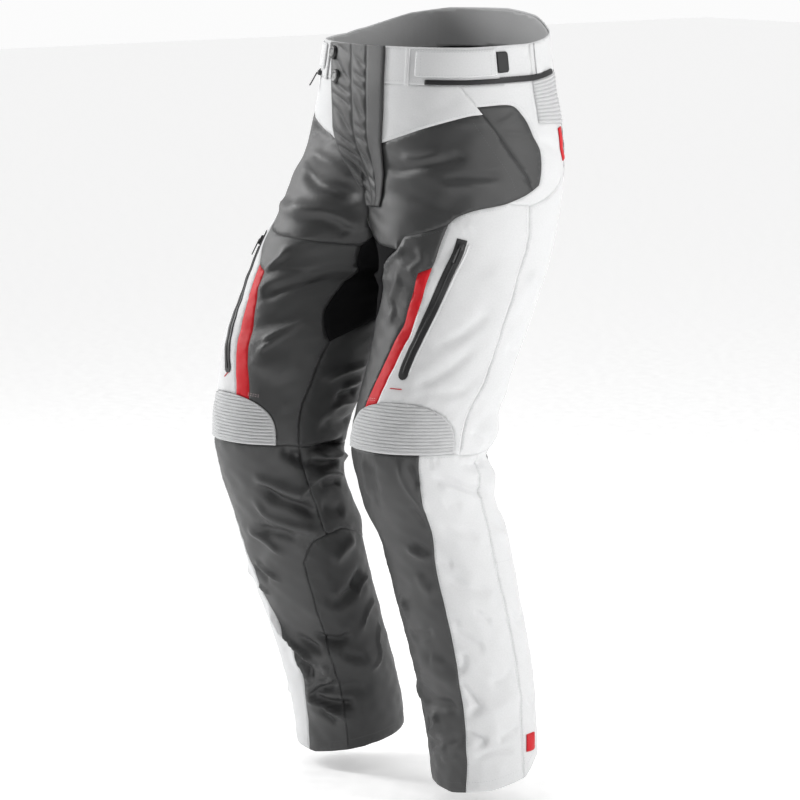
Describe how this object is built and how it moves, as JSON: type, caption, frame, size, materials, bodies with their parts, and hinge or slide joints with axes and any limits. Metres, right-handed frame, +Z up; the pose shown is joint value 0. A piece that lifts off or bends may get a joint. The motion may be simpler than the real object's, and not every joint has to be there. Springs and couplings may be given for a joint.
{
  "type": "motorcycle trousers",
  "caption": "Textile motorcycle trousers, white and grey with red side stripes, ribbed stretch knees, zipped thigh pockets and a snap fly flap, filled out as worn.",
  "frame": {"origin": "centre of the waist opening, at the height of the band's front edge", "axes": "+Z up, the front faces -Y, the wearer's left is +X"},
  "size_m": [0.4564, 0.4215, 1.0515],
  "materials": {
    "white_cloth": "woven textile",
    "grey_cloth": "woven textile",
    "dark_cloth": "woven textile",
    "black_cloth": "stretch textile",
    "lining_cloth": "smooth lining",
    "red_trim": "woven textile",
    "black_zip": "satin",
    "black_snap": "satin"
  },
  "bodies": {
    "trousers": {"waistband_back": "white_cloth", "waist_lining": "lining_cloth", "fly_flap": "grey_cloth", "snap_upper": "black_snap", "snap_lower": "black_snap", "waistband_front_L": "white_cloth", "waistband_front_R": "white_cloth", "upper_front_L": "white_cloth", "upper_front_R": "white_cloth", "hip_side_L": "white_cloth", "hip_side_R": "white_cloth", "hip_accordion_L": "white_cloth", "hip_accordion_R": "white_cloth", "thigh_side_L": "white_cloth", "thigh_side_R": "white_cloth", "thigh_rear_L": "white_cloth", "thigh_rear_R": "white_cloth", "knee_accordion_L": "white_cloth", "knee_accordion_R": "white_cloth", "shin_side_L": "white_cloth", "shin_side_R": "white_cloth", "calf_rear_L": "white_cloth", "calf_rear_R": "white_cloth", "waist_strap_L": "white_cloth", "waist_strap_R": "white_cloth", "belt_loop_L": "white_cloth", "belt_loop_R": "white_cloth", "hip_front_L": "grey_cloth", "hip_front_R": "grey_cloth", "pocket_facing_L": "grey_cloth", "pocket_facing_R": "grey_cloth", "thigh_front_L": "grey_cloth", "thigh_front_R": "grey_cloth", "shin_front_L": "grey_cloth", "shin_front_R": "grey_cloth", "seat_L": "dark_cloth", "seat_R": "dark_cloth", "thigh_back_L": "dark_cloth", "thigh_back_R": "dark_cloth", "shin_back_L": "dark_cloth", "shin_back_R": "dark_cloth", "calf_inner_L": "dark_cloth", "calf_inner_R": "dark_cloth", "gusset_L": "black_cloth", "gusset_R": "black_cloth", "thigh_stripe_L": "red_trim", "thigh_stripe_R": "red_trim", "hip_piping_L": "red_trim", "hip_piping_R": "red_trim", "hem_tab_L": "red_trim", "hem_tab_R": "red_trim", "thigh_zip_L": "black_zip", "thigh_zip_R": "black_zip", "band_zip_L": "black_zip", "band_zip_R": "black_zip", "strap_hook_L": "black_zip", "strap_hook_R": "black_zip"},
    "left_pull": {"zip_pull_L": "black_zip"},
    "right_pull": {"zip_pull_R": "black_zip"},
    "band_pull": {"band_pull_R": "black_zip"}
  },
  "joints": [
    {"name": "left_pull_hinge", "type": "hinge", "parent": "trousers", "child": "left_pull", "pos_m": [0.18179, -0.11146, -0.26164], "axis": [-0.59, -0.7031, 0.3969], "range_deg": [0, 146]},
    {"name": "right_pull_hinge", "type": "hinge", "parent": "trousers", "child": "right_pull", "pos_m": [-0.1669, -0.18212, -0.27513], "axis": [-0.7724, 0.4224, -0.4742], "range_deg": [0, 146]},
    {"name": "band_pull_hinge", "type": "hinge", "parent": "trousers", "child": "band_pull", "pos_m": [-0.12141, -0.11461, -0.0444], "axis": [-0.848, 0.5297, 0.0153], "range_deg": [0, 120]}
  ]
}
